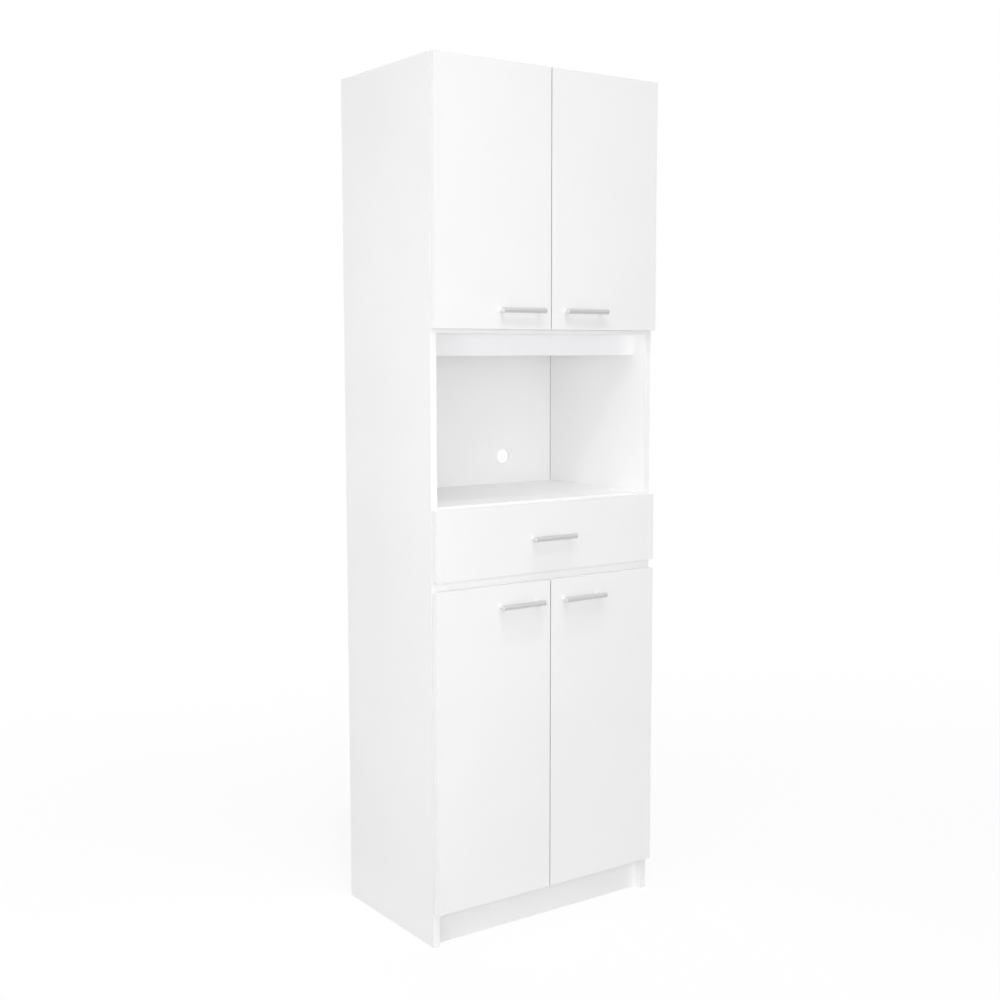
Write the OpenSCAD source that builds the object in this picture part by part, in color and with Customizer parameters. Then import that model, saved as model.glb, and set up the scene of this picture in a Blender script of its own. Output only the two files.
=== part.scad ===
// Tall freestanding microwave cabinet: two-door cupboard above an open
// niche, one drawer, and a two-door cupboard below, on a recessed plinth.
// Millimetres. +Z up, the fronts face -Y. The origin lies on the floor,
// midway across the width and midway between the back edge and the handles.

/* [Carcass] */
// Width over the two side panels
cabinet_w = 600; // [560:10:640]
// Height from the floor to the top panel
cabinet_h = 1880; // [1860:5:1930]
// Depth of the side panels, without the fronts
carcass_d = 363; // [355:1:390]
// Thickness of the carcass boards
board_t = 15; // [15:1:16]
// Thickness of the hardboard back
back_t = 3; // [3:0.5:4]
// Distance from the back edge of the sides to the hardboard
back_inset = 0; // [0:1:6]
// Seam that shows in front of the hardboard in each back corner
back_seam = 0.8; // [0.2:0.2:1.6]

/* [Levels] */
// Height of the plinth
plinth_h = 77; // [70:1:85]
// How far the plinth is set back from the carcass front edge
plinth_setback = 18; // [15:1:40]
// Height of the lower doors
lower_door_h = 700; // [690:5:710]
// Height of the rail edge that shows between the lower doors and the drawer
rail_reveal = 21; // [16:1:24]
// Height of the drawer front
drawer_front_h = 151.5; // [148:0.5:156]
// Height of the niche from its floor to the board above
niche_h = 362; // [350:1:370]
// Height of the strip across the head of the niche
fascia_h = 47; // [45:1:50]
// How far that strip is set back from the carcass front edge
fascia_setback = 45; // [30:1:60]

/* [Fronts] */
// Thickness of the doors and the drawer front
front_t = 15; // [15:1:16]
// Space between the carcass and the closed fronts
door_gap = 2; // [2:0.25:2.5]
// Distance from the outer faces of the sides to the edges of the fronts
front_inset = 1; // [1:0.25:1.5]
// Space between two doors where they meet
meeting_gap = 2.6; // [2:0.2:4]

/* [Handles] */
// Overall length of a handle bar
handle_l = 112; // [108:1:128]
// Distance between the two handle screws
handle_pitch = 96; // [96:1:96]
// Diameter of the handle bar
handle_d = 11; // [10:0.5:12]
// Distance from the door face to the axis of the bar
handle_reach = 20.5; // [16:0.5:24]
// Distance of a door handle's middle from the middle of the cabinet
handle_x = 86; // [80:1:100]
// Distance of an upper door's handle from the lower edge of the door
upper_handle_edge = 39.5; // [34:0.5:60]
// Distance of a lower door's handle from the upper edge of the door
lower_handle_edge = 44.5; // [34:0.5:60]

/* [Drawer] */
// Space for the runner on each side of the drawer box
runner_gap = 12.5; // [12.5:0.1:12.8]
// Length of the drawer box behind its front
drawer_l = 300; // [290:5:300]
// Height of the drawer sides
drawer_side_h = 100; // [90:1:100]
// Thickness of the drawer sides and back
drawer_side_t = 12; // [12:1:15]

/* [Cable hole] */
// Diameter of the cable hole in the back of the niche
cable_hole_d = 35; // [30:1:40]
// Distance of the cable hole from the middle of the cabinet
cable_hole_x = 138; // [100:1:160]
// Height of the cable hole above the niche floor
cable_hole_up = 67; // [60:1:90]

/* [Hidden] */
$fn = 40;

// plan of the whole: back edge, carcass front edge, front faces
total_d = carcass_d + door_gap + front_t + handle_reach + handle_d / 2;
back_y = total_d / 2;
edge_y = back_y - carcass_d;
door_y1 = edge_y - door_gap;
door_y0 = door_y1 - front_t;
bar_y = door_y0 - handle_reach;
half_w = cabinet_w / 2;
in_w = cabinet_w - 2 * board_t;
half_in = in_w / 2;
front_half = half_w - front_inset;
back_y0 = back_y - back_inset - back_t;
panel_d = back_y0 - edge_y;

// levels
base_z = plinth_h;
lower_door_z = plinth_h - 0.5;
rail_z0 = lower_door_z + lower_door_h - 12.5;
drawer_z0 = lower_door_z + lower_door_h + rail_reveal;
rail_h = drawer_z0 + 14.5 - rail_z0;
drawer_z1 = drawer_z0 + drawer_front_h;
floor_z = drawer_z1 + 6 - board_t;
upper_base_z = floor_z + board_t + niche_h;
upper_door_z = upper_base_z + 9;
upper_door_h = cabinet_h - 1 - upper_door_z;
top_z = cabinet_h - board_t;
fascia_z = upper_base_z - fascia_h;
fascia_y = edge_y + fascia_setback;
plinth_y = edge_y + plinth_setback;
back_split_z = floor_z + board_t / 2;

// fixings in the ends of the level boards: [distance from front, from back]
dowel_in = [30, 36];
bolt_in = [70, 76];
dowel_r = 4;
cam_r = 7.5;
cam_in = 24;
fit = 0.1;

// shelves
upper_shelf_z = 1590;
lower_shelf_z = 425;
shelf_w = in_w - 3;
shelf_front_in = 23;
shelf_d = panel_d - shelf_front_in - 2;
pin_r = 2.5;
pin_in = [60, 60];

// hinges: distance from a door's end, cup, pin
hinge_end = 100;
cup_r = 17.45;
cup_depth = 12;
cup_edge = 21.5;
cup_x = front_half - cup_edge;
link_pin_x = half_in + 3.5;
link_pin_y = door_y1 - 6;
link_step = 9.5;
link_l = 29;
upper_hinges = [upper_door_z + hinge_end, upper_door_z + upper_door_h - hinge_end];
lower_hinges = [lower_door_z + hinge_end, lower_door_z + lower_door_h - hinge_end];
plate_in = 37;

// drawer box and runners
box_half = half_in - runner_gap;
box_z0 = drawer_z0 + 26.5;
box_z1 = box_z0 + drawer_side_h;
box_back_y = door_y1 + drawer_l;
bottom_z = box_z0 + 12;
roller_r = 10;
roller_x0 = 2.5;
roller_w = 7;
axle_r = 2.5;
run_flange_z = box_z0 - 1.2;
cab_roller_z = run_flange_z - roller_r - 0.3;
cab_roller_y = edge_y + 28;
drw_roller_z = run_flange_z - 14.3;
drw_roller_y = box_back_y - 15;
chan_z0 = drw_roller_z - roller_r - 0.3 - 1.2;
chan_z1 = drw_roller_z + roller_r + 0.5 + 1.2;
run_screw_y = [edge_y + 60, edge_y + 170, edge_y + 290];

// brackets that hold the cabinet to a wall
bracket_x = 200;
bracket_w = 30;
bracket_t = 2;
bracket_drop = 17;

white = "whitesmoke";
steel = "silver";
nickel = "lightgray";

// ---------- helpers ----------
module on_side(s) { mirror([s > 0 ? 1 : 0, 0, 0]) children(); }
// cylinder along X, from x0 to x1
module rod_x(x0, x1, y, z, r) { translate([x0, y, z]) rotate([0, 90, 0]) cylinder(h = x1 - x0, r = r); }
// cylinder along Y, from y0 to y1
module rod_y(x, y0, y1, z, r) { translate([x, y1, z]) rotate([90, 0, 0]) cylinder(h = y1 - y0, r = r); }
module box(x0, x1, y0, y1, z0, z1) { translate([x0, y0, z0]) cube([x1 - x0, y1 - y0, z1 - z0]); }

// end fixing places as [y, z], the same on both sides
level_z = [base_z, floor_z, upper_base_z, top_z];
function strip_y(y) = y + board_t / 2;
function fix_y(ins) = [edge_y + ins[0], back_y0 - ins[1]];
strips = [[strip_y(edge_y), rail_z0, 14, 34], [strip_y(fascia_y), fascia_z, 13, 33], [strip_y(plinth_y), 0, 20, 50]];
dowel_places = concat(
  [for (z = level_z) for (y = fix_y(dowel_in)) [y, z + board_t / 2]],
  [for (s = strips) [s[0], s[1] + s[2]]]);
bolt_places = concat(
  [for (z = level_z) for (y = fix_y(bolt_in)) [y, z + board_t / 2]],
  [for (s = strips) [s[0], s[1] + s[3]]]);
pin_places = [for (z = [upper_shelf_z, lower_shelf_z]) for (k = [-2:2])
  for (y = [edge_y + shelf_front_in + pin_in[0], back_y0 - pin_in[1]]) [y, z + 32 * k - pin_r - 0.02, k]];
hinge_places = concat(upper_hinges, lower_hinges);

// ---------- carcass ----------
module side_panel(s) {
  color(white) on_side(s) difference() {
    box(-half_w, -half_in, edge_y, back_y, 0, cabinet_h);
    // rebate for the hardboard back
    box(-half_in - 5, -half_in + 1, back_y0 - back_seam, back_y0 + back_t + 0.1, -1, cabinet_h + 1);
    for (p = dowel_places) rod_x(-half_in - 12.5, -half_in + 1, p[0], p[1], dowel_r + fit);
    for (p = bolt_places) rod_x(-half_in - 11.5, -half_in + 1, p[0], p[1], 2.5 + fit);
    for (p = pin_places) rod_x(-half_in - 9, -half_in + 1, p[0], p[1], pin_r + fit);
    for (z = hinge_places) for (d = [-16, 16]) rod_x(-half_in - 12, -half_in + 1, edge_y + plate_in, z + d, 2.5 + fit);
    for (y = run_screw_y) rod_x(-half_in - 12, -half_in + 1, y, drw_roller_z, 2 + fit);
  }
}

// level board between the sides; up = true puts the cam pockets in its top
module level_board(z, up) {
  difference() {
    box(-half_in, half_in, edge_y, back_y0, z, z + board_t);
    for (s = [-1, 1]) on_side(s) {
      for (y = fix_y(dowel_in)) rod_x(-half_in - 1, -half_in + 19, y, z + board_t / 2, dowel_r + fit);
      for (y = fix_y(bolt_in)) {
        rod_x(-half_in - 1, -half_in + cam_in, y, z + board_t / 2, dowel_r + fit);
        translate([-half_in + cam_in, y, up ? z + board_t - 12.5 : z - 1]) cylinder(h = 13.5, r = cam_r + fit);
      }
    }
    children();
  }
}

// upright strip between the sides, with its cam pockets in the back face
module strip_board(y, z, h, zd, zb) {
  difference() {
    box(-half_in, half_in, y, y + board_t, z, z + h);
    for (s = [-1, 1]) on_side(s) {
      rod_x(-half_in - 1, -half_in + 19, y + board_t / 2, z + zd, dowel_r + fit);
      rod_x(-half_in - 1, -half_in + cam_in, y + board_t / 2, z + zb, dowel_r + fit);
      rod_y(-half_in + cam_in, y + board_t - 12.5, y + board_t + 1, z + zb, cam_r + fit);
    }
  }
}

module left_side_panel() { side_panel(-1); }
module right_side_panel() { side_panel(1); }
module top_panel() {
  color(white) level_board(top_z, false)
    for (x = [-bracket_x - 8, -bracket_x + 8, bracket_x - 8, bracket_x + 8])
      translate([x, back_y0 - 20, top_z - 1]) cylinder(h = 12.5, r = 2 + fit);
}
module upper_cupboard_base() { color(white) level_board(upper_base_z, true); }
module niche_floor() { color(white) level_board(floor_z, false); }
module base_panel() { color(white) level_board(base_z, false); }
module niche_fascia() { color(white) strip_board(fascia_y, fascia_z, fascia_h, strips[1][2], strips[1][3]); }
module front_rail() { color(white) strip_board(edge_y, rail_z0, rail_h, strips[0][2], strips[0][3]); }
module plinth() { color(white) strip_board(plinth_y, 0, plinth_h, strips[2][2], strips[2][3]); }

module upper_back_panel() {
  color("gainsboro") difference() {
    box(-half_in - 4.5, half_in + 4.5, back_y0, back_y0 + back_t, back_split_z + 0.5, cabinet_h - 2);
    rod_y(cable_hole_x, back_y0 - 1, back_y0 + back_t + 1, floor_z + board_t + cable_hole_up, cable_hole_d / 2);
    for (x = [-bracket_x, bracket_x]) rod_y(x, back_y0 - 1, back_y0 + back_t + 1, top_z - bracket_drop, 3.5);
  }
}
module lower_back_panel() {
  color("gainsboro") box(-half_in - 4.5, half_in + 4.5, back_y0, back_y0 + back_t, base_z + 3, back_split_z - 0.5);
}

// loose shelf on four pins
module shelf(z) { box(-shelf_w / 2, shelf_w / 2, edge_y + shelf_front_in, edge_y + shelf_front_in + shelf_d, z, z + board_t); }
module upper_shelf() { color(white) shelf(upper_shelf_z); }
module lower_shelf() { color(white) shelf(lower_shelf_z); }
module shelf_pins() {
  color(nickel) for (s = [-1, 1]) on_side(s) for (p = pin_places) if (p[2] == 0) {
    rod_x(-half_in - 8.5, -half_in + 9, p[0], p[1], pin_r);
    rod_x(-half_in + 0.02, -half_in + 1, p[0], p[1], pin_r + 1.5);
  }
}

// turned cam with a cross recess, and a side bore that takes the bolt's head
module cam() {
  difference() {
    cylinder(h = 12, r = cam_r - fit);
    for (a = [0, 90]) rotate([0, 0, a]) translate([-4, -0.7, -1]) cube([8, 1.4, 3]);
    rod_x(-cam_r - 1, 2.5, 0, board_t / 2, 4);
  }
}
module cam_locks() {
  color(nickel) for (s = [-1, 1]) on_side(s) {
    for (z = level_z) for (y = fix_y(bolt_in))
      if (z == upper_base_z) translate([-half_in + cam_in, y, z + board_t]) mirror([0, 0, 1]) cam();
      else translate([-half_in + cam_in, y, z]) cam();
    for (p = strips) translate([-half_in + cam_in, p[0] + board_t / 2, p[1] + p[3]]) rotate([90, 0, 0]) cam();
  }
}
// bolt screwed into the side panel, its head held by the cam
module cam_bolts() {
  color(steel) for (s = [-1, 1]) on_side(s) for (p = bolt_places) {
    rod_x(-half_in - 11, -half_in + cam_in - 2, p[0], p[1], 2.5);
    rod_x(-half_in + 0.05, -half_in + 1.2, p[0], p[1], 3.6);
    rod_x(-half_in + cam_in - 2.5, -half_in + cam_in + 1.5, p[0], p[1], 3.4);
  }
}
module wood_dowels() {
  color("burlywood") for (s = [-1, 1]) on_side(s) for (p = dowel_places)
    rod_x(-half_in - 12, -half_in + 18, p[0], p[1], dowel_r);
}

// ---------- hinges, carcass side ----------
// plate screwed to the side panel: two wings and a raised block
module plate() {
  difference() {
    union() {
      translate([0, plate_in - 7, -23]) cube([2, 14, 46]);
      translate([0, 24, -7]) cube([6.5, 34, 14]);
    }
    for (d = [-16, 16]) rod_x(-1, 3, plate_in, d, 2.5 + fit);
    rod_x(0.5, 8, 47, 0, 3 + fit);
  }
}
// channel-shaped arm over the plate, open towards the side panel
module arm() {
  difference() {
    translate([3, 1, -10]) cube([10, 59, 20]);
    translate([2, 0, -8.5]) cube([9.5, 61, 17]);
    rod_x(10, 14, 47, 0, 3 + fit);
    rod_x(10, 14, 31, 0, 2.5);
    translate([2, -1, -11]) cube([3, 10, 22]);
  }
}
module at_hinges(s, zs) { on_side(s) for (z = zs) translate([-half_in, edge_y, z]) children(); }
module hinge_plates() { color(steel) for (s = [-1, 1]) at_hinges(s, hinge_places) plate(); }
module hinge_arms() { color(steel) for (s = [-1, 1]) at_hinges(s, hinge_places) arm(); }

// pan-head screws: hinge plates, hinge arms, runners and wall brackets
module pan_screw_x(x0, x1, y, z, r, hr, ht) { rod_x(x0, x1 + 0.5, y, z, r); rod_x(x1, x1 + ht, y, z, hr); }
module fixing_screws() {
  color(steel) {
    for (s = [-1, 1]) {
      at_hinges(s, hinge_places) {
        for (d = [-16, 16]) pan_screw_x(-11.5, 2, plate_in, d, 2.5, 4, 1.6);
        pan_screw_x(1, 13, 47, 0, 3, 4.2, 2);
      }
      on_side(s) for (y = run_screw_y) pan_screw_x(-half_in - 11.5, -half_in + 1.2, y, drw_roller_z, 2, 3.5, 0.8);
    }
    for (x = [-bracket_x - 8, -bracket_x + 8, bracket_x - 8, bracket_x + 8]) translate([x, back_y0 - 20, top_z - bracket_t]) {
      translate([0, 0, -2]) cylinder(h = 2, r = 4);
      translate([0, 0, -1]) cylinder(h = 14, r = 2);
    }
  }
}

// ---------- drawer runners, carcass side ----------
// channel with a turned-in foot and head, the head cut short behind the front roller
module cabinet_runner(s) {
  color(white) on_side(s) translate([-half_in, 0, 0]) difference() {
    union() {
      box(0, 1.2, edge_y + 17, edge_y + 312, chan_z0, chan_z1);
      box(0, 10, edge_y + 17, edge_y + 312, chan_z0, chan_z0 + 1.2);
      box(0, 10, edge_y + 46, edge_y + 312, chan_z1 - 1.2, chan_z1);
      rod_x(0.5, 10.4, cab_roller_y, cab_roller_z, axle_r);
    }
    for (y = run_screw_y) rod_x(-1, 2, y, drw_roller_z, 2 + fit);
  }
}
module left_cabinet_runner() { cabinet_runner(-1); }
module right_cabinet_runner() { cabinet_runner(1); }
// flat-tyred plastic roller with a hub bore
module roller(y, z) {
  difference() {
    rod_x(roller_x0, roller_x0 + roller_w, y, z, roller_r);
    rod_x(roller_x0 - 1, roller_x0 + roller_w + 1, y, z, axle_r + 0.05);
    for (a = [0:60:300]) rod_x(roller_x0 - 1, roller_x0 + roller_w + 1, y + 6.2 * cos(a), z + 6.2 * sin(a), 1.5);
  }
}
module cabinet_rollers() { color("white") for (s = [-1, 1]) on_side(s) translate([-half_in, 0, 0]) roller(cab_roller_y, cab_roller_z); }

// angle bracket under the top panel, with one hole for a wall screw
module wall_bracket(x) {
  difference() {
    union() {
      box(x - bracket_w / 2, x + bracket_w / 2, back_y0 - 30, back_y0, top_z - bracket_t, top_z);
      box(x - bracket_w / 2, x + bracket_w / 2, back_y0 - bracket_t, back_y0, top_z - 30, top_z);
    }
    rod_y(x, back_y0 - bracket_t - 1, back_y0 + 1, top_z - bracket_drop, 2.75);
    for (d = [-8, 8]) translate([x + d, back_y0 - 20, top_z - bracket_t - 1]) cylinder(h = bracket_t + 2, r = 2 + fit);
  }
}
module wall_brackets() { color(steel) for (x = [-bracket_x, bracket_x]) wall_bracket(x); }

// ---------- doors ----------
// s = -1 left, 1 right; zh = height of the handle
module door(s, z, h, hinges, zh) {
  color(white) on_side(s) difference() {
    box(-front_half, -meeting_gap / 2, door_y0, door_y1, z, z + h);
    for (c = hinges) {
      rod_y(-cup_x, door_y1 - cup_depth - 0.2, door_y1 + 1, c, cup_r + 0.1);
      for (d = [-24, 24]) rod_y(-cup_x, door_y1 - 10, door_y1 + 1, c + d, 1.6);
    }
    for (d = [-1, 1]) rod_y(-handle_x + d * handle_pitch / 2, door_y0 - 1, door_y1 + 1, zh, 2.2);
  }
}
// steel cup with two ears and the pin that carries the link
module cups(s, hinges) {
  color(steel) on_side(s) for (c = hinges) {
    difference() {
      union() {
        rod_y(-cup_x, door_y1 - cup_depth, door_y1 + 0.9, c, cup_r);
        hull() for (d = [-24, 24]) rod_y(-cup_x, door_y1 + 0.02, door_y1 + 0.9, c + d, 5);
      }
      rod_y(-cup_x, door_y1 - cup_depth + 1, door_y1 + 2, c, cup_r - 1);
      for (d = [-24, 24]) rod_y(-cup_x, door_y1 - 1, door_y1 + 2, c + d, 1.6);
    }
    intersection() {
      translate([-link_pin_x, link_pin_y, c - 15]) cylinder(h = 30, r = 2);
      rod_y(-cup_x, door_y1 - cup_depth, door_y1 + 0.9, c, cup_r - 0.4);
    }
  }
}
// bent strap: an eye on the cup's pin, a short leg and a long tail in the arm
module links(s, hinges) {
  color(steel) on_side(s) for (c = hinges) translate([-link_pin_x, link_pin_y, c - 5]) linear_extrude(height = 10) difference() {
    union() {
      circle(r = 3.5);
      translate([0, -1]) square([link_step, 2]);
      translate([link_step, 0]) circle(r = 1);
      translate([link_step - 1, 0]) square([2, link_l]);
      translate([link_step, link_l]) circle(r = 1);
    }
    circle(r = 2.05);
  }
}

// ---------- handles ----------
// round bar with two blind sockets for its posts
module bar(x, z) {
  color(steel) difference() {
    rod_x(x - handle_l / 2, x + handle_l / 2, bar_y, z, handle_d / 2);
    for (d = [-1, 1]) rod_y(x + d * handle_pitch / 2, bar_y + 1.9, bar_y + handle_d, z, 4.05);
  }
}
// round posts, tapped for the screws
module posts(x, z) {
  color(steel) for (d = [-1, 1]) difference() {
    rod_y(x + d * handle_pitch / 2, bar_y + 2, door_y0, z, 4);
    rod_y(x + d * handle_pitch / 2, bar_y + 4.5, door_y0 + 1, z, 2.05);
  }
}
// screws from the back of the front into the posts
module handle_screws(x, z) {
  color(steel) for (d = [-1, 1]) {
    rod_y(x + d * handle_pitch / 2, bar_y + 5, door_y1 + 0.5, z, 2);
    difference() {
      rod_y(x + d * handle_pitch / 2, door_y1, door_y1 + 1.8, z, 3.8);
      for (a = [0, 90]) translate([x + d * handle_pitch / 2, door_y1 + 1.4, z]) rotate([0, a, 0]) cube([4.4, 1.2, 0.9], center = true);
    }
  }
}

upper_hz = upper_door_z + upper_handle_edge;
lower_hz = lower_door_z + lower_door_h - lower_handle_edge;
drawer_hz = drawer_z0 + drawer_front_h / 2;

module upper_left_door() { door(-1, upper_door_z, upper_door_h, upper_hinges, upper_hz); }
module upper_left_hinge_cups() { cups(-1, upper_hinges); }
module upper_left_hinge_links() { links(-1, upper_hinges); }
module upper_left_handle_bar() { bar(-handle_x, upper_hz); }
module upper_left_handle_posts() { posts(-handle_x, upper_hz); }
module upper_left_handle_screws() { handle_screws(-handle_x, upper_hz); }
module upper_right_door() { door(1, upper_door_z, upper_door_h, upper_hinges, upper_hz); }
module upper_right_hinge_cups() { cups(1, upper_hinges); }
module upper_right_hinge_links() { links(1, upper_hinges); }
module upper_right_handle_bar() { bar(handle_x, upper_hz); }
module upper_right_handle_posts() { posts(handle_x, upper_hz); }
module upper_right_handle_screws() { handle_screws(handle_x, upper_hz); }
module lower_left_door() { door(-1, lower_door_z, lower_door_h, lower_hinges, lower_hz); }
module lower_left_hinge_cups() { cups(-1, lower_hinges); }
module lower_left_hinge_links() { links(-1, lower_hinges); }
module lower_left_handle_bar() { bar(-handle_x, lower_hz); }
module lower_left_handle_posts() { posts(-handle_x, lower_hz); }
module lower_left_handle_screws() { handle_screws(-handle_x, lower_hz); }
module lower_right_door() { door(1, lower_door_z, lower_door_h, lower_hinges, lower_hz); }
module lower_right_hinge_cups() { cups(1, lower_hinges); }
module lower_right_hinge_links() { links(1, lower_hinges); }
module lower_right_handle_bar() { bar(handle_x, lower_hz); }
module lower_right_handle_posts() { posts(handle_x, lower_hz); }
module lower_right_handle_screws() { handle_screws(handle_x, lower_hz); }

// ---------- drawer ----------
drawer_dowel_z = [box_z0 + 30, box_z1 - 20];
module drawer_front() {
  color(white) difference() {
    box(-front_half, front_half, door_y0, door_y1, drawer_z0, drawer_z1);
    // groove for the bottom, dowel holes for the sides, handle holes
    box(-box_half + drawer_side_t - 6, box_half - drawer_side_t + 6, door_y1 - 6, door_y1 + 1, bottom_z - 0.1, bottom_z + 3.1);
    for (s = [-1, 1]) for (z = drawer_dowel_z) rod_y(s * (box_half - drawer_side_t / 2), door_y1 - 10.5, door_y1 + 1, z, 3 + fit);
    for (d = [-1, 1]) rod_y(d * handle_pitch / 2, door_y0 - 1, door_y1 + 1, drawer_hz, 2.2);
  }
}
module drawer_side(s) {
  color(white) on_side(s) difference() {
    box(-box_half, -box_half + drawer_side_t, door_y1, box_back_y, box_z0, box_z1);
    box(-box_half + drawer_side_t - 6, -box_half + drawer_side_t + 1, door_y1 - 1, box_back_y + 1, bottom_z - 0.1, bottom_z + 3.1);
    for (z = drawer_dowel_z) {
      rod_y(-box_half + drawer_side_t / 2, door_y1 - 1, door_y1 + 20, z, 3 + fit);
      rod_x(-box_half + 3.5, -box_half + drawer_side_t + 1, box_back_y - drawer_side_t / 2, z, 3 + fit);
    }
  }
}
module drawer_left_side() { drawer_side(-1); }
module drawer_right_side() { drawer_side(1); }
module drawer_back() {
  color(white) difference() {
    box(-box_half + drawer_side_t, box_half - drawer_side_t, box_back_y - drawer_side_t, box_back_y, bottom_z + 3, box_z1);
    for (s = [-1, 1]) on_side(s) for (z = drawer_dowel_z)
      rod_x(-box_half + drawer_side_t - 1, -box_half + drawer_side_t + 20, box_back_y - drawer_side_t / 2, z, 3 + fit);
  }
}
module drawer_bottom() {
  color("gainsboro") box(-box_half + drawer_side_t - 5.5, box_half - drawer_side_t + 5.5, door_y1 - 5.5, box_back_y - 0.5, bottom_z, bottom_z + 3);
}
module drawer_dowels() {
  color("burlywood") for (s = [-1, 1]) on_side(s) for (z = drawer_dowel_z) {
    rod_y(-box_half + drawer_side_t / 2, door_y1 - 10, door_y1 + 19.5, z, 3);
    rod_x(-box_half + 4, -box_half + drawer_side_t + 19.5, box_back_y - drawer_side_t / 2, z, 3);
  }
}
// bent profile under and beside the drawer side, with the rear roller's axle
module drawer_runner(s) {
  color(white) on_side(s) translate([-half_in, 0, 0]) union() {
    box(3, runner_gap + drawer_side_t, door_y1 + 8, box_back_y, run_flange_z, box_z0);
    box(runner_gap - 1.2, runner_gap, door_y1 + 8, box_back_y, box_z0 - 0.6, box_z0 + 10);
    box(runner_gap - 1.2, runner_gap, box_back_y - 32, box_back_y, drw_roller_z - 6, box_z0 - 0.6);
    rod_x(2.3, runner_gap - 0.6, drw_roller_y, drw_roller_z, axle_r);
  }
}
module left_drawer_runner() { drawer_runner(-1); }
module right_drawer_runner() { drawer_runner(1); }
module drawer_rollers() { color("white") for (s = [-1, 1]) on_side(s) translate([-half_in, 0, 0]) roller(drw_roller_y, drw_roller_z); }
module drawer_handle_bar() { bar(0, drawer_hz); }
module drawer_handle_posts() { posts(0, drawer_hz); }
module drawer_handle_screws() { handle_screws(0, drawer_hz); }

left_side_panel();
right_side_panel();
top_panel();
upper_cupboard_base();
niche_fascia();
niche_floor();
front_rail();
base_panel();
plinth();
upper_back_panel();
lower_back_panel();
upper_shelf();
lower_shelf();
shelf_pins();
cam_locks();
cam_bolts();
wood_dowels();
fixing_screws();
hinge_plates();
hinge_arms();
left_cabinet_runner();
right_cabinet_runner();
cabinet_rollers();
wall_brackets();
upper_left_door();
upper_left_hinge_cups();
upper_left_hinge_links();
upper_left_handle_bar();
upper_left_handle_posts();
upper_left_handle_screws();
upper_right_door();
upper_right_hinge_cups();
upper_right_hinge_links();
upper_right_handle_bar();
upper_right_handle_posts();
upper_right_handle_screws();
lower_left_door();
lower_left_hinge_cups();
lower_left_hinge_links();
lower_left_handle_bar();
lower_left_handle_posts();
lower_left_handle_screws();
lower_right_door();
lower_right_hinge_cups();
lower_right_hinge_links();
lower_right_handle_bar();
lower_right_handle_posts();
lower_right_handle_screws();
drawer_front();
drawer_left_side();
drawer_right_side();
drawer_back();
drawer_bottom();
drawer_dowels();
left_drawer_runner();
right_drawer_runner();
drawer_rollers();
drawer_handle_bar();
drawer_handle_posts();
drawer_handle_screws();
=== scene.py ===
import math

import bmesh
import bpy
from mathutils import Matrix, Vector

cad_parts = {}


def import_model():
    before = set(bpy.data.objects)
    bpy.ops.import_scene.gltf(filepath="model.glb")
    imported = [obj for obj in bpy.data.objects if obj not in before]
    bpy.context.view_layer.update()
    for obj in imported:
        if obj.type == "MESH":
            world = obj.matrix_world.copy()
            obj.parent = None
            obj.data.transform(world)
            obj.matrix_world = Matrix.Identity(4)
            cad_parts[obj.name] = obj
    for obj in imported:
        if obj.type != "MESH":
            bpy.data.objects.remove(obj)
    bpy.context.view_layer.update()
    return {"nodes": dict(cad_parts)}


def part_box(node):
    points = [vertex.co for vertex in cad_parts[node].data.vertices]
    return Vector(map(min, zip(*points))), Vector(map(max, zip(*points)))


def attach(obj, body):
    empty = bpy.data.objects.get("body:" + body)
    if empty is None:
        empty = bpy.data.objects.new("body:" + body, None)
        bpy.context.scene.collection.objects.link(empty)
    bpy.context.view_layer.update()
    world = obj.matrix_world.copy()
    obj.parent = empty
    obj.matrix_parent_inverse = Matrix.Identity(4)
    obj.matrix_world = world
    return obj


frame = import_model()
NODE = frame["nodes"]
scene = bpy.context.scene
DOORS = ("upper_left", "upper_right", "lower_left", "lower_right")


# ---------------------------------------------------------------- camera
def make_camera():
    yaw, pitch, roll = math.radians(-35.170), math.radians(-6.132), math.radians(-0.0755)
    fw = Vector((math.sin(-yaw) * math.cos(pitch), math.cos(-yaw) * math.cos(pitch), math.sin(pitch)))
    right = Vector((math.cos(yaw), math.sin(yaw), 0))
    up = right.cross(fw)
    r = right * math.cos(roll) + up * math.sin(roll)
    u = -right * math.sin(roll) + up * math.cos(roll)
    data = bpy.data.cameras.new("camera")
    data.sensor_width = 36
    data.lens = 1380.305 / 1000 * 36
    data.clip_start, data.clip_end = 0.05, 60
    cam = bpy.data.objects.new("camera", data)
    scene.collection.objects.link(cam)
    m = Matrix((r, u, -fw)).transposed().to_4x4()
    m.translation = Vector((-1.826479, -2.575187, 1.278377))
    cam.matrix_world = m
    scene.camera = cam


make_camera()


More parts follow.
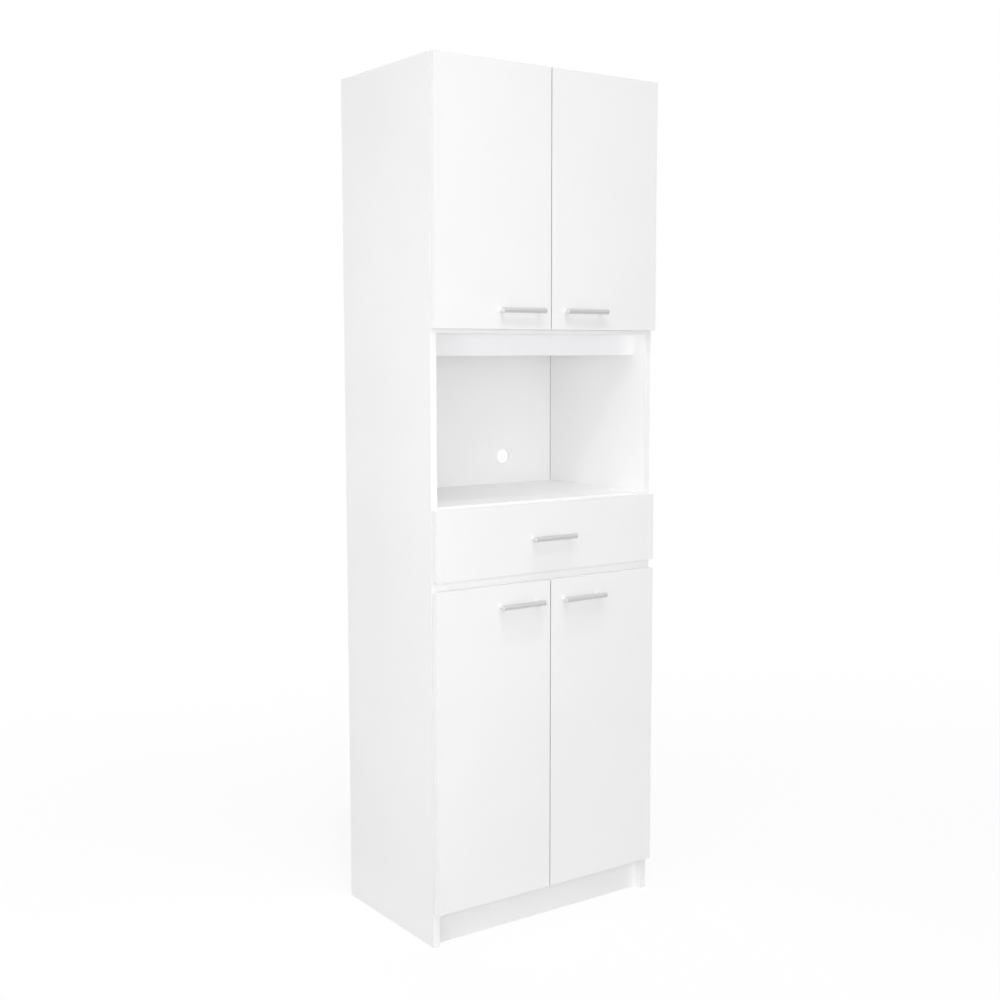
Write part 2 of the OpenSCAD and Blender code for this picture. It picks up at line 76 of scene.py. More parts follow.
# ---------------------------------------------------------------- node helpers
class Graph:
    """Short names for building a node material."""

    def __init__(self, name):
        self.mat = bpy.data.materials.new(name)
        self.mat.use_nodes = True
        self.t = self.mat.node_tree
        self.bsdf = self.t.nodes["Principled BSDF"]
        self.coord = self.t.nodes.new("ShaderNodeTexCoord")

    def node(self, kind, **values):
        n = self.t.nodes.new("ShaderNode" + kind)
        for k, v in values.items():
            if k in n.inputs:
                n.inputs[k].default_value = v
            else:
                setattr(n, k, v)
        return n

    def link(self, a, b):
        self.t.links.new(a, b)
        return b

    def coords(self, scale=(1, 1, 1), rotation=(0, 0, 0)):
        n = self.node("Mapping")
        n.inputs["Scale"].default_value = scale
        n.inputs["Rotation"].default_value = rotation
        self.link(self.coord.outputs["Object"], n.inputs["Vector"])
        return n.outputs["Vector"]

    def noise(self, vec, scale, detail=4.0, rough=0.55, distortion=0.0):
        n = self.node("TexNoise")
        n.inputs["Scale"].default_value = scale
        n.inputs["Detail"].default_value = detail
        n.inputs["Roughness"].default_value = rough
        n.inputs["Distortion"].default_value = distortion
        self.link(vec, n.inputs["Vector"])
        return n.outputs["Fac"]

    def voronoi(self, vec, scale, feature="F1", out="Distance", rand=1.0):
        n = self.node("TexVoronoi")
        n.feature = feature
        n.inputs["Scale"].default_value = scale
        n.inputs["Randomness"].default_value = rand
        self.link(vec, n.inputs["Vector"])
        return n.outputs[out]

    def ramp(self, fac, stops):
        n = self.node("ValToRGB")
        e = n.color_ramp.elements
        e[0].position, e[0].color = stops[0][0], (*stops[0][1], 1)
        e[1].position, e[1].color = stops[-1][0], (*stops[-1][1], 1)
        for pos, col in stops[1:-1]:
            x = e.new(pos)
            x.color = (*col, 1)
        self.link(fac, n.inputs["Fac"])
        return n.outputs["Color"]

    def remap(self, fac, a, b, lo=0.0, hi=1.0):
        n = self.node("MapRange")
        n.inputs["From Min"].default_value = lo
        n.inputs["From Max"].default_value = hi
        n.inputs["To Min"].default_value = a
        n.inputs["To Max"].default_value = b
        self.link(fac, n.inputs["Value"])
        return n.outputs["Result"]

    def math(self, op, a, b=None):
        n = self.node("Math")
        n.operation = op
        for i, v in enumerate((a, b)):
            if v is None:
                continue
            if isinstance(v, (int, float)):
                n.inputs[i].default_value = v
            else:
                self.link(v, n.inputs[i])
        return n.outputs[0]

    def mix(self, fac, a, b, mode="MIX"):
        n = self.node("Mix")
        n.data_type = "RGBA"
        n.blend_type = mode
        fac_in, a_in, b_in = n.inputs[0], n.inputs[6], n.inputs[7]
        for v, s in ((fac, fac_in), (a, a_in), (b, b_in)):
            if isinstance(v, (int, float)):
                s.default_value = v
            elif isinstance(v, tuple):
                s.default_value = (*v, 1)
            else:
                self.link(v, s)
        return n.outputs[2]

    def bump(self, height, strength, distance, normal=None):
        n = self.node("Bump")
        n.inputs["Strength"].default_value = strength
        n.inputs["Distance"].default_value = distance
        self.link(height, n.inputs["Height"])
        if normal is not None:
            self.link(normal, n.inputs["Normal"])
        return n.outputs["Normal"]

    def out(self, color=None, rough=None, normal=None, metallic=0.0, ior=1.5, spec=0.5, coat=0.0, coat_rough=0.1):
        b = self.bsdf.inputs
        if color is not None:
            if isinstance(color, tuple):
                b["Base Color"].default_value = (*color, 1)
            else:
                self.link(color, b["Base Color"])
        if rough is not None:
            if isinstance(rough, (int, float)):
                b["Roughness"].default_value = rough
            else:
                self.link(rough, b["Roughness"])
        if normal is not None:
            self.link(normal, b["Normal"])
        b["Metallic"].default_value = metallic
        b["IOR"].default_value = ior
        b["Specular IOR Level"].default_value = spec
        b["Coat Weight"].default_value = coat
        b["Coat Roughness"].default_value = coat_rough
        return self.mat


# ---------------------------------------------------------------- materials
def melamine(name, tone, rough=0.42):
    """Satin white melamine: pressed pearl texture, faint clouding, faint wiped patches in the gloss."""
    g = Graph(name)
    v = g.coords()
    cloud = g.noise(v, 3.2, 3, 0.5)
    fine = g.noise(v, 160, 3, 0.6)
    lo = tuple(c * 0.982 for c in tone)
    color = g.mix(g.remap(cloud, 0, 1, 0.35, 0.65), lo, tone)
    color = g.mix(g.remap(fine, 0, 0.05, 0.3, 0.7), color, tuple(c * 0.9 for c in tone))
    smear = g.noise(g.coords((1, 1, 0.35)), 9, 5, 0.6, 0.6)
    r = g.remap(smear, rough - 0.05, rough + 0.07, 0.3, 0.7)
    pearl = g.voronoi(v, 520, "SMOOTH_F1")
    peel = g.noise(v, 900, 2, 0.5)
    h = g.math("ADD", g.math("MULTIPLY", pearl, 0.6), g.math("MULTIPLY", peel, 0.5))
    n = g.bump(h, 0.12, 0.0002)
    n = g.bump(g.noise(v, 14, 2, 0.4), 0.05, 0.002, n)
    return g.out(color, r, n)


def edge_band(name, tone):
    """Smooth glued edging, a touch glossier than the face, with fine draw lines."""
    g = Graph(name)
    v = g.coords()
    lines = g.noise(g.coords((1, 1, 0.02)), 900, 2, 0.5)
    wave = g.noise(v, 40, 3, 0.5)
    color = g.mix(g.remap(wave, 0, 0.6, 0.3, 0.7), tone, tuple(c * 0.985 for c in tone))
    n = g.bump(g.math("ADD", lines, wave), 0.06, 0.0002)
    return g.out(color, g.remap(lines, 0.3, 0.4, 0.3, 0.7), n)


def chipboard(name):
    """Raw chipboard: coarse tan and brown flakes in fine sawdust, with pits."""
    g = Graph(name)
    v = g.coords()
    warp = g.noise(v, 60, 2, 0.5)
    flakes = g.voronoi(g.coords((1, 1, 1.8)), 420, "F1", "Color")
    sep = g.node("SeparateColor")
    g.link(flakes, sep.inputs[0])
    col = g.ramp(sep.outputs[0], [(0.0, (0.30, 0.19, 0.10)), (0.3, (0.52, 0.37, 0.22)), (0.65, (0.68, 0.53, 0.35)), (1.0, (0.80, 0.68, 0.50))])
    dust = g.noise(v, 1500, 3, 0.7)
    col = g.mix(g.remap(dust, 0, 0.5, 0.35, 0.75), col, (0.60, 0.46, 0.30))
    col = g.mix(g.remap(warp, 0, 0.25, 0.3, 0.7), col, (0.45, 0.32, 0.19))
    edges = g.voronoi(v, 420, "DISTANCE_TO_EDGE")
    h = g.math("ADD", g.remap(edges, 0, 0.7, 0, 0.12), g.math("MULTIPLY", dust, 0.6))
    return g.out(col, 0.9, g.bump(h, 0.5, 0.0006), spec=0.25)


def hardboard_white(name, tone):
    """White lacquer rolled on hardboard: very smooth, with a faint roller grain and fibre specks."""
    g = Graph(name)
    v = g.coords()
    roll = g.noise(g.coords((1, 1, 0.08)), 260, 3, 0.55)
    cloud = g.noise(v, 2.4, 3, 0.5)
    specks = g.voronoi(v, 700, "F1")
    color = g.mix(g.remap(cloud, 0, 0.6, 0.3, 0.7), tone, tuple(c * 0.975 for c in tone))
    color = g.mix(g.remap(specks, 0.06, 0, 0, 0.12), color, tuple(c * 0.85 for c in tone))
    # painted shade: a dark line where the sheet runs on behind the side panels, standing in for the shadow in that
    # corner
    xyz = g.node("SeparateXYZ")
    g.link(g.coord.outputs["Object"], xyz.inputs[0])
    painted_corner_shade = g.math("GREATER_THAN", g.math("ABSOLUTE", xyz.outputs["X"]), 0.2838)
    color = g.mix(g.math("MULTIPLY", painted_corner_shade, 0.42), color, (0.10, 0.09, 0.08))
    n = g.bump(g.math("ADD", roll, specks), 0.08, 0.0002)
    n = g.bump(g.noise(v, 5, 2, 0.4), 0.12, 0.004, n)
    return g.out(color, g.remap(roll, 0.5, 0.6, 0.3, 0.7), n)


def hardboard_raw(name):
    """The unpainted side of hardboard: dark brown felted fibres with the screen pattern of the press."""
    g = Graph(name)
    v = g.coords()
    fibre = g.noise(g.coords((1, 1, 1), (0, 0.6, 0)), 420, 6, 0.75, 1.5)
    blot = g.noise(v, 6, 4, 0.6)
    col = g.ramp(fibre, [(0.25, (0.17, 0.092, 0.045)), (0.5, (0.27, 0.155, 0.078)), (0.75, (0.37, 0.225, 0.12))])
    col = g.mix(g.remap(blot, 0, 0.35, 0.35, 0.7), col, (0.33, 0.20, 0.105))
    w1 = g.node("TexWave")
    w1.bands_direction = "X"
    w1.inputs["Scale"].default_value = 220
    g.link(v, w1.inputs["Vector"])
    w2 = g.node("TexWave")
    w2.bands_direction = "Z"
    w2.inputs["Scale"].default_value = 220
    g.link(v, w2.inputs["Vector"])
    screen = g.math("MULTIPLY", w1.outputs["Fac"], w2.outputs["Fac"])
    h = g.math("ADD", g.math("MULTIPLY", screen, 0.5), g.math("MULTIPLY", fibre, 0.5))
    return g.out(col, 0.85, g.bump(h, 0.35, 0.0006), spec=0.3)


def brushed(name, tone, rough, along="X", ripple=0.06, metallic=1.0):
    """Drawn or brushed metal, with fine streaks along one axis and slight tarnish."""
    g = Graph(name)
    s = {"X": (0.015, 1, 1), "Y": (1, 0.015, 1), "Z": (1, 1, 0.015)}[along]
    streak = g.noise(g.coords(s), 2600, 4, 0.6)
    cloud = g.noise(g.coords(), 30, 3, 0.55)
    col = g.mix(g.remap(streak, 0, 0.22, 0.3, 0.7), tone, tuple(c * 0.82 for c in tone))
    col = g.mix(g.remap(cloud, 0, 0.12, 0.3, 0.75), col, tuple(c * 0.8 for c in tone))
    r = g.math("ADD", g.remap(streak, rough - ripple, rough + ripple, 0.3, 0.7), g.remap(cloud, -0.03, 0.04, 0.3, 0.7))
    return g.out(col, r, g.bump(streak, 0.12, 0.00008), metallic=metallic)


def plated(name, tone, rough):
    """Nickel or zinc plate over pressed steel: fine spangle, rubbed spots, tiny pits."""
    g = Graph(name)
    v = g.coords()
    spangle = g.voronoi(v, 900, "F1", "Color")
    sep = g.node("SeparateColor")
    g.link(spangle, sep.inputs[0])
    rub = g.noise(v, 110, 4, 0.6)
    col = g.mix(g.remap(sep.outputs[0], 0, 0.14), tone, tuple(c * 0.8 for c in tone))
    col = g.mix(g.remap(rub, 0, 0.2, 0.35, 0.75), col, tuple(min(1, c * 1.12) for c in tone))
    r = g.remap(rub, rough - 0.07, rough + 0.1, 0.3, 0.7)
    return g.out(col, r, g.bump(g.noise(v, 1800, 3, 0.6), 0.12, 0.0001), metallic=1.0)


def enamel(name, tone):
    """Powder coat: fine orange peel, slightly soft gloss."""
    g = Graph(name)
    v = g.coords()
    peel = g.noise(v, 750, 2, 0.45)
    cloud = g.noise(v, 25, 3, 0.5)
    col = g.mix(g.remap(cloud, 0, 0.5, 0.3, 0.7), tone, tuple(c * 0.96 for c in tone))
    return g.out(col, g.remap(peel, 0.28, 0.38, 0.3, 0.7), g.bump(peel, 0.25, 0.0002), coat=0.25, coat_rough=0.2)


def nylon(name, tone, rough=0.45):
    g = Graph(name)
    v = g.coords()
    cloud = g.noise(v, 60, 4, 0.6)
    col = g.mix(g.remap(cloud, 0, 0.6, 0.3, 0.7), tone, tuple(c * 0.93 for c in tone))
    g.bsdf.inputs["Subsurface Weight"].default_value = 0.15
    g.bsdf.inputs["Subsurface Scale"].default_value = 0.002
    return g.out(col, g.remap(cloud, rough - 0.06, rough + 0.08, 0.3, 0.7), g.bump(g.noise(v, 1200, 2, 0.5), 0.1, 0.0001))


def beech(name):
    """Turned beech: straight grain along the dowel with short dark rays."""
    g = Graph(name)
    grain = g.noise(g.coords((0.04, 1, 1)), 900, 5, 0.6)
    rays = g.voronoi(g.coords((0.12, 1, 1)), 700, "F1")
    col = g.ramp(grain, [(0.3, (0.55, 0.37, 0.21)), (0.7, (0.74, 0.56, 0.37))])
    col = g.mix(g.remap(rays, 0.35, 0, 0, 0.25), col, (0.42, 0.26, 0.14))
    return g.out(col, 0.62, g.bump(grain, 0.25, 0.0002), spec=0.35)


def clear_pad(name):
    g = Graph(name)
    v = g.coords()
    g.bsdf.inputs["Transmission Weight"].default_value = 0.75
    return g.out((0.93, 0.93, 0.92), g.remap(g.noise(v, 300, 2, 0.5), 0.12, 0.25, 0.3, 0.7), g.bump(g.noise(v, 500, 2, 0.5), 0.1, 0.0001), ior=1.45)


WHITE = (0.94, 0.9392, 0.9384)
M = {
    "face": melamine("white_melamine_face", WHITE),
    "front": melamine("white_front_face", (0.888, 0.8872, 0.8866), 0.4),
    "band": edge_band("white_edge_band", (0.94, 0.9392, 0.9386)),
    "chip": chipboard("raw_chipboard"),
    "board": hardboard_white("white_hardboard", (0.925, 0.924, 0.9235)),
    "brown": hardboard_raw("raw_hardboard"),
    "handle": brushed("satin_handle", (0.70, 0.70, 0.705), 0.34, "X"),
    "post": brushed("satin_post", (0.9, 0.9, 0.9), 0.4, "Y"),
    # painted shade: a darker edging for the meeting edges of the doors, for the shadow in the gap between them
    "gap_shade_band": edge_band("meeting_edge_painted_gap_shade", (0.76, 0.759, 0.758)),
    # partly painted light: the fascia face is lighter than the carcass white to offset the shade of its recess; its
    # faint blue tint is its own tone
    "strip": melamine("white_strip_face", (0.962, 0.962, 0.976)),
    "steel": plated("nickel_plate", (0.66, 0.655, 0.64), 0.3),
    "zinc": plated("zinc_plate", (0.6, 0.61, 0.62), 0.4),
    "beech": beech("beech_dowel"),
    "enamel": enamel("runner_powder_coat", (0.86, 0.86, 0.85)),
    "nylon": nylon("roller_nylon", (0.84, 0.84, 0.81)),
    "pad": clear_pad("clear_pad"),
    "cap": brushed("polished_cap", (0.84, 0.84, 0.845), 0.34, "Z", 0.04),
}


# ---------------------------------------------------------------- CAD nodes
def set_materials(node, *keys):
    slots = NODE[node].data.materials
    slots.clear()
    for k in keys:
        slots.append(M[k])


def smooth(node, width, segments=2, angle=32):
    """Rounds a CAD node's sharp edges at render time; the node's own mesh stays as it is."""
    o = NODE[node]
    for p in o.data.polygons:
        p.use_smooth = True
    w = o.modifiers.new("weld", "WELD")
    w.merge_threshold = 0.000004
    b = o.modifiers.new("round_edges", "BEVEL")
    b.width = width
    b.segments = segments
    b.limit_method = "ANGLE"
    b.angle_limit = math.radians(angle)
    b.miter_outer = "MITER_ARC"
    b.use_clamp_overlap = True
    n = o.modifiers.new("even_normals", "WEIGHTED_NORMAL")
    n.weight = 80
    n.keep_sharp = True


def board(node, faces, banded, face_key="face", band_key="band", core="chip", width=0.0006):
    """Faces of a board by the plane that they lie on: its two faces, its banded edges, and raw cores elsewhere.
    faces is the axis across the board's thickness; banded lists edges such as "-y"."""
    o = NODE[node]
    lo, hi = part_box(node)
    set_materials(node, face_key, band_key, core)
    planes = []
    for axis in range(3):
        for side, at in ((-1, lo[axis]), (1, hi[axis])):
            name = ("-" if side < 0 else "+") + "xyz"[axis]
            kind = 0 if axis == "xyz".index(faces) else (1 if name in banded else 2)
            planes.append((axis, side, at, kind))
    me = o.data
    for p in me.polygons:
        kind = 2
        c, nor = p.center, p.normal
        for axis, side, at, k in planes:
            if nor[axis] * side > 0.999 and abs(c[axis] - at) < 0.00002:
                kind = k
                break
        p.material_index = kind
    smooth(node, width)


for s in ("left", "right"):
    board(s + "_side_panel", "x", ("-y", "+z"))
board("top_panel", "z", ("-y",))
board("upper_cupboard_base", "z", ("-y",))
board("niche_floor", "z", ("-y",))
board("base_panel", "z", ("-y",))
board("niche_fascia", "y", ("-z",), "strip")
board("front_rail", "y", ("+z", "-z"))
board("plinth", "y", ("+z",))
board("upper_shelf", "z", ("-y",))
board("lower_shelf", "z", ("-y",))
for d in DOORS:
    board(d + "_door", "y", ("-x", "+x", "-z", "+z"), "front", "band", "chip", 0.0008)
for d in DOORS:
    # painted shade: the edges where two doors meet get a darker edging, standing in for the shadow in the gap between
    # them
    o = NODE[d + "_door"]
    o.data.materials.append(M["gap_shade_band"])
    lo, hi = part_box(d + "_door")
    at = hi[0] if "left" in d else lo[0]
    for p in o.data.polygons:
        if abs(p.normal.x) > 0.999 and abs(p.center.x - at) < 0.00002:
            p.material_index = 3
board("drawer_front", "y", ("-x", "+x", "-z", "+z"), "front", "band", "chip", 0.0008)
board("drawer_left_side", "x", ("+z",))
board("drawer_right_side", "x", ("+z",))
board("drawer_back", "y", ("+z",))


def sheet_faces(node, axis, painted):
    """Hardboard: lacquer on one face, brown fibre on the other and on the cut edges."""
    o = NODE[node]
    lo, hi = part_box(node)
    set_materials(node, "board", "brown")
    for p in o.data.polygons:
        on = abs(p.center[axis] - (hi if painted > 0 else lo)[axis]) < 0.00002 and p.normal[axis] * painted > 0.99
        hole = axis == 1 and abs(p.center.x - 0.138) < 0.019 and abs(p.center.z - 1.022) < 0.019
        p.material_index = 0 if on or (hole and abs(p.normal[axis]) < 0.1) else 1
    smooth(node, 0.0003)


sheet_faces("upper_back_panel", 1, -1)
sheet_faces("lower_back_panel", 1, -1)
sheet_faces("drawer_bottom", 2, 1)

for n in ("shelf_pins", "cam_locks", "hinge_plates", "hinge_arms"):
    set_materials(n, "steel")
    smooth(n, 0.0003)
for n in ("cam_bolts", "fixing_screws", "wall_brackets"):
    set_materials(n, "zinc")
    smooth(n, 0.0003)
for n in ("wood_dowels", "drawer_dowels"):
    set_materials(n, "beech")
    smooth(n, 0.0006)
for n in ("left_cabinet_runner", "right_cabinet_runner", "left_drawer_runner", "right_drawer_runner"):
    set_materials(n, "enamel")
    smooth(n, 0.0003)
for n in ("cabinet_rollers", "drawer_rollers"):
    set_materials(n, "nylon")
    smooth(n, 0.0006)
for d in DOORS:
    for k, w in (("_hinge_cups", 0.0003), ("_hinge_links", 0.0003), ("_handle_screws", 0.0003)):
        set_materials(d + k, "steel")
        smooth(d + k, w)
for d in DOORS + ("drawer",):
    set_materials(d + "_handle_bar", "handle")
    smooth(d + "_handle_bar", 0.0008, 3)
    set_materials(d + "_handle_posts", "post")
    smooth(d + "_handle_posts", 0.0003)
set_materials("drawer_handle_screws", "steel")
smooth("drawer_handle_screws", 0.0003)


# ---------------------------------------------------------------- small pieces
def turned(bm, place, profile, segments=32, mat=0):
    """Turns a profile of (radius, height) round the local Z axis of place; radius 0 closes an end."""
    rings = []
    for r, z in profile:
        if r < 1e-7:
            rings.append([bm.verts.new(place @ Vector((0, 0, z)))])
        else:
            rings.append([bm.verts.new(place @ Vector((r * math.cos(a), r * math.sin(a), z)))
                          for a in (2 * math.pi * k / segments for k in range(segments))])
    for low, high in zip(rings, rings[1:]):
        for k in range(segments):
            n = (k + 1) % segments
            if len(low) == 1:
                f = bm.faces.new((low[0], high[k], high[n]))
            elif len(high) == 1:
                f = bm.faces.new((low[k], low[n], high[0]))
            else:
                f = bm.faces.new((low[k], low[n], high[n], high[k]))
            f.smooth = True
            f.material_index = mat


def cross_head(bm, place, r, h, mat=0, segments=32):
    """A pan head with a tapered cross recess; it stands on the local XY plane."""
    rims = []
    for k, z in ((1.0, 0.0), (0.985, 0.4), (0.92, 0.78), (0.8, 1.0)):
        rims.append([bm.verts.new(place @ Vector((r * k * math.cos(a), r * k * math.sin(a), h * z)))
                     for a in (2 * math.pi * j / segments for j in range(segments))])
    for low, high in zip(rims, rims[1:]):
        for j in range(segments):
            n = (j + 1) % segments
            f = bm.faces.new((low[j], low[n], high[n], high[j]))
            f.smooth = True
            f.material_index = mat

    def cross(w, l, z):
        pts = ((l, -w), (l, w), (w, w), (w, l), (-w, l), (-w, w), (-l, w), (-l, -w), (-w, -w), (-w, -l), (w, -l), (w, -w))
        return [bm.verts.new(place @ Vector((x, y, z))) for x, y in pts]

    top = cross(0.15 * r, 0.56 * r, h)
    low = cross(0.09 * r, 0.38 * r, h - min(0.9 * h, 0.3 * r))
    for j in range(12):
        n = (j + 1) % 12
        bm.faces.new((top[n], top[j], low[j], low[n])).material_index = mat
    bm.faces.new(low).material_index = mat
    edge = [e for e in rims[-1][0].link_edges if False]
    for ring in (rims[-1], top):
        for j in range(len(ring)):
            a, b = ring[j], ring[(j + 1) % len(ring)]
            e = bm.edges.get((a, b)) or bm.edges.new((a, b))
            edge.append(e)
    made = bmesh.ops.triangle_fill(bm, use_beauty=True, use_dissolve=False, edges=edge, normal=place.to_3x3() @ Vector((0, 0, 1)))
    for f in made["geom"]:
        if isinstance(f, bmesh.types.BMFace):
            f.material_index = mat


def facing(at, axis, turn=0.0):
    """A place whose local Z looks along axis."""
    z = Vector(axis).normalized()
    q = z.to_track_quat("Z", "Y")
    return Matrix.Translation(Vector(at)) @ q.to_matrix().to_4x4() @ Matrix.Rotation(turn, 4, "Z")


def piece(name, bm, body, slot, *mats):
    bmesh.ops.recalc_face_normals(bm, faces=bm.faces)
    me = bpy.data.meshes.new(name)
    bm.to_mesh(me)
    bm.free()
    for m in mats:
        me.materials.append(M[m])
    o = bpy.data.objects.new(name, me)
    scene.collection.objects.link(o)
    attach(o, body)
    return o


def handle_trims(name, body, x, z):
    """Polished end caps in the bar, and a thin collar where each post meets the front."""
    bm = bmesh.new()
    bar_y = -0.1975
    for s in (-1, 1):
        turned(bm, facing((x + s * 0.056, bar_y, z), (s, 0, 0)),
               [(0.0042, -0.0006), (0.0042, 0.00005), (0.0038, 0.00028), (0.0030, 0.00036), (0, 0.0004)], 40, 0)
        turned(bm, facing((x + s * 0.048, -0.177, z), (0, -1, 0)),
               [(0.0045, -0.0002), (0.0045, 0.0004), (0.0043, 0.0006), (0.00395, 0.0006), (0.00385, 0.0005)], 40, 1)
    piece(name, bm, body, "handle_metal", "cap", "post")


HINGE_Z = {"upper": (1.426, 1.779), "lower": (0.1765, 0.6765)}
HANDLE_Z = {"upper": 1.3655, "lower": 0.732}
PAD_Z = {"upper": ((1.32915, 0.0024), (1.872, 0.0038)), "lower": ((0.0845, 0.0038), (0.7702, 0.0038))}
for d in DOORS:
    part, side = d.split("_")
    s = -1 if side == "left" else 1
    handle_trims(d + "_handle_trims", d + "_door", s * 0.086, HANDLE_Z[part])
    bm = bmesh.new()
    for i, z in enumerate(HINGE_Z[part]):
        for j, dz in enumerate((-0.024, 0.024)):
            cross_head(bm, facing((s * 0.2775, -0.1611, z + dz), (0, 1, 0), 0.4 + 0.9 * i + 0.55 * j), 0.0034, 0.0011)
    piece(d + "_cup_screws", bm, d + "_door", "plated_steel", "zinc")
    bm = bmesh.new()
    for z, r in PAD_Z[part]:
        for x in ((0.018, 0.262) if r > 0.003 else (0.018,)):
            turned(bm, facing((s * x, -0.162, z), (0, 1, 0)),
                   [(r, 0.0), (r, 0.0005), (r * 0.93, 0.0012), (r * 0.7, 0.0016), (0, 0.00175)], 32)
    piece(d + "_edge_pads", bm, d + "_door", "roller_nylon", "pad")

handle_trims("drawer_handle_trims", "drawer", 0.0, 0.87325)
bm = bmesh.new()
for x in (-0.2925, 0.2925):
    for z in (0.812, 0.936):
        turned(bm, facing((x, -0.162, z), (0, 1, 0)),
               [(0.0038, 0.0), (0.0038, 0.0005), (0.0035, 0.0012), (0.0027, 0.0016), (0, 0.00175)], 32)
piece("drawer_edge_pads", bm, "drawer", "roller_nylon", "pad")

bm = bmesh.new()
for s in (-1, 1):
    inner = s * 0.285
    into = (-s, 0, 0)
    for part in HINGE_Z:
        for k, z in enumerate(HINGE_Z[part]):
            for j, dz in enumerate((-0.016, 0.016)):
                cross_head(bm, facing((inner - s * 0.0036, -0.123, z + dz), into, 0.3 + 0.7 * k + 0.5 * j), 0.0039, 0.0005)
            cross_head(bm, facing((inner - s * 0.015, -0.113, z), into, 0.2 + 0.6 * k), 0.0041, 0.0006)
            cross_head(bm, facing((inner - s * 0.0118, -0.129, z), into, 0.9 + 0.6 * k), 0.0023, 0.0011)
piece("hinge_screw_drives", bm, "carcass", "plated_steel", "zinc")

bm = bmesh.new()
for x in (-0.2, 0.2):
    for dx in (-0.008, 0.008):
        cross_head(bm, facing((x + dx, 0.180, 1.861), (0, 0, -1), 0.5), 0.0039, 0.0005)
piece("bracket_screw_drives", bm, "carcass", "plated_steel", "zinc")


# ---------------------------------------------------------------- stage
LEVEL = 0.982


def polar(az, dist, z):
    a = math.radians(az)
    return Vector((dist * math.sin(a), -dist * math.cos(a), z))


def add_light(name, data, at, to):
    ob = bpy.data.objects.new(name, data)
    ob.location = at
    ob.rotation_mode = "QUATERNION"
    ob.rotation_quaternion = (Vector(to) - Vector(at)).to_track_quat("-Z", "Y")
    scene.collection.objects.link(ob)


def area(name, at, to, size, power):
    data = bpy.data.lights.new(name, "AREA")
    data.shape = "RECTANGLE"
    data.size, data.size_y = size
    data.energy = power * LEVEL
    add_light(name, data, at, to)


def wide(name, az, el, angle, strength):
    """A large far softbox: a directional light with a wide disc."""
    data = bpy.data.lights.new(name, "SUN")
    data.energy = strength * LEVEL
    data.angle = math.radians(angle)
    e = math.radians(el)
    at = polar(az, 6 * math.cos(e), 6 * math.sin(e))
    add_light(name, data, at, (0, 0, 0))


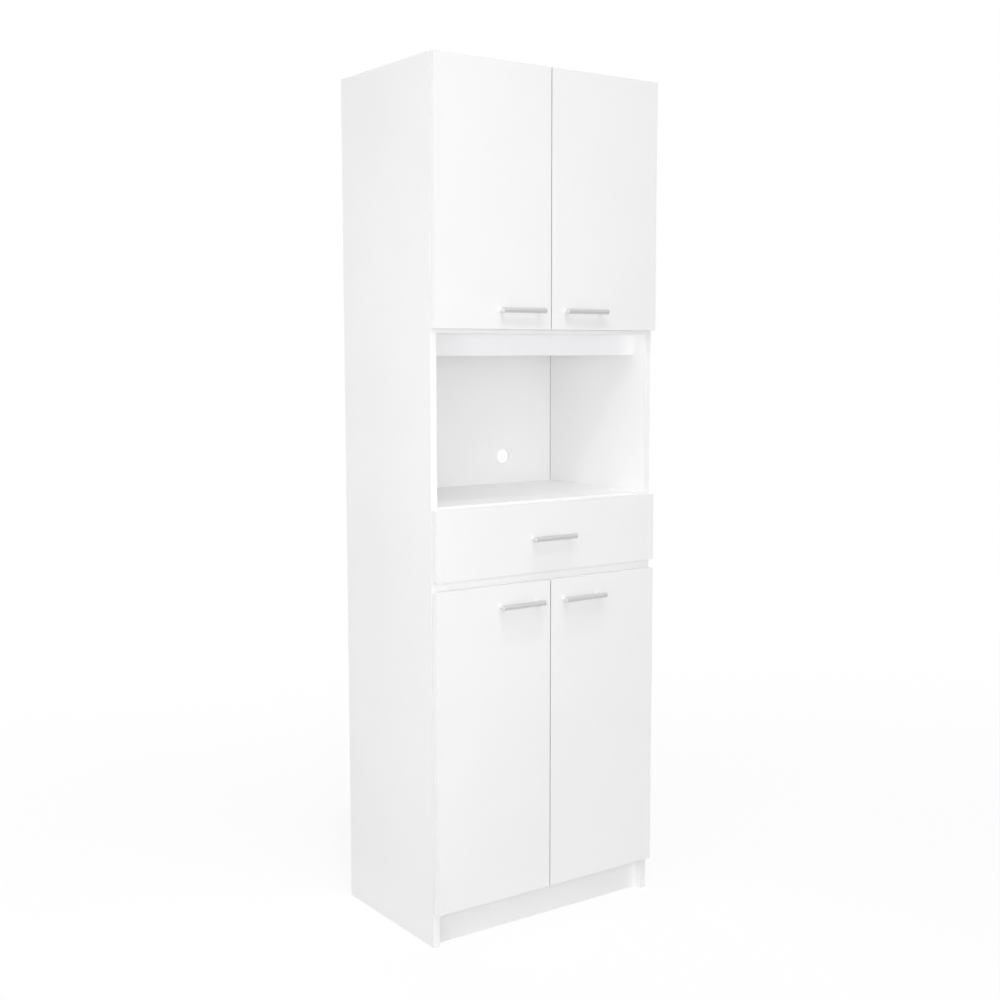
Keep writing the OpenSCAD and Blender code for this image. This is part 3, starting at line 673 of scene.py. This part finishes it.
def floor():
    """A pale matt floor, lit almost to white for the camera, that runs out into a white sweep behind the cabinet."""
    g = Graph("studio_floor")
    v = g.coords()
    path = g.node("LightPath")
    seen = g.math("MAXIMUM", path.outputs["Is Camera Ray"], g.math("MULTIPLY", path.outputs["Is Glossy Ray"], 0.4))
    pale = g.mix(g.remap(g.noise(v, 1.5, 3, 0.5), 0, 1, 0.3, 0.7), (0.925, 0.925, 0.925), (0.94, 0.94, 0.94))
    mat = g.out(g.mix(seen, (0.58, 0.58, 0.58), pale), 0.85, spec=0.15)
    away = g.node("VectorMath")
    away.operation = "DOT_PRODUCT"
    away.inputs[1].default_value = (0.576, 0.817, 0)
    g.link(g.coord.outputs["Object"], away.inputs[0])
    far = g.node("MapRange")
    far.interpolation_type = "SMOOTHSTEP"
    far.inputs["From Min"].default_value = 0.3
    far.inputs["From Max"].default_value = 3.0
    far.inputs["To Min"].default_value = 0.86
    g.link(away.outputs["Value"], far.inputs["Value"])
    glow = g.node("Emission")
    glow.inputs["Color"].default_value = (1, 1, 1, 1)
    glow.inputs["Strength"].default_value = 1.0
    both = g.node("MixShader")
    g.link(g.math("MULTIPLY", far.outputs["Result"], seen), both.inputs[0])
    g.link(g.bsdf.outputs[0], both.inputs[1])
    g.link(glow.outputs[0], both.inputs[2])
    g.link(both.outputs[0], g.t.nodes["Material Output"].inputs["Surface"])
    bm = bmesh.new()
    bmesh.ops.create_circle(bm, cap_ends=True, radius=45, segments=96)
    me = bpy.data.meshes.new("floor")
    bm.to_mesh(me)
    bm.free()
    me.materials.append(mat)
    o = bpy.data.objects.new("floor", me)
    scene.collection.objects.link(o)


def world():
    w = bpy.data.worlds.new("studio")
    w.use_nodes = True
    t = w.node_tree
    bg = t.nodes["Background"]
    path = t.nodes.new("ShaderNodeLightPath")
    seen = t.nodes.new("ShaderNodeMapRange")
    seen.inputs["To Min"].default_value = 0.14
    seen.inputs["To Max"].default_value = 0.8
    t.links.new(path.outputs["Is Glossy Ray"], seen.inputs["Value"])
    top = t.nodes.new("ShaderNodeMath")
    top.operation = "MAXIMUM"
    t.links.new(path.outputs["Is Camera Ray"], top.inputs[0])
    t.links.new(seen.outputs["Result"], top.inputs[1])
    t.links.new(top.outputs[0], bg.inputs["Strength"])
    bg.inputs["Color"].default_value = (1, 1, 1, 1)
    scene.world = w


floor()
world()
wide("sky_front", -20, 25, 90, 0.90)
wide("sky_left", -90, 25, 90, 0.24)
wide("sky_top", -20, 70, 90, 0.44)
wide("top_key", -20, 71.7, 5, 0.46)
wide("rear_high", 150, 50, 40, 0.41)
area("left", polar(-75, 3.2, 0.9), (0, 0, 1.0), (1.8, 1.8), 13.5)
area("left_front", polar(-64, 3.2, 1.1), (0, 0, 1.1), (0.5, 0.9), 6.8)
area("left_rear", polar(-130, 3.2, 1.7), (0, 0, 1.0), (1.8, 1.8), 9.5)
area("front_left", polar(-30, 3.2, 1.25), (0, 0, 1.2), (1.6, 1.6), 7.6)
area("front_left_small", polar(-33, 3.1, 1.3), (0, 0, 1.2), (0.35, 0.35), 10.3)
area("front_mid", polar(-10, 3.2, 1.25), (0, 0, 1.2), (1.6, 1.6), 7)
area("front", polar(5, 4.0, 1.4), (0, 0, 1.0), (2.0, 1.8), 5.8)
area("key", polar(-33, 2.6, 3.8), (0, 0, 1.2), (0.45, 0.45), 18)
area("right", polar(95, 3.4, 1.7), (0, 0, 1.0), (2.0, 2.0), 10)
area("rear", polar(175, 4.0, 1.7), (0, 0, 1.0), (2.0, 2.0), 28)
scene.cycles.diffuse_bounces = 8
scene.view_settings.view_transform = "Standard"
scene.view_settings.look = "None"
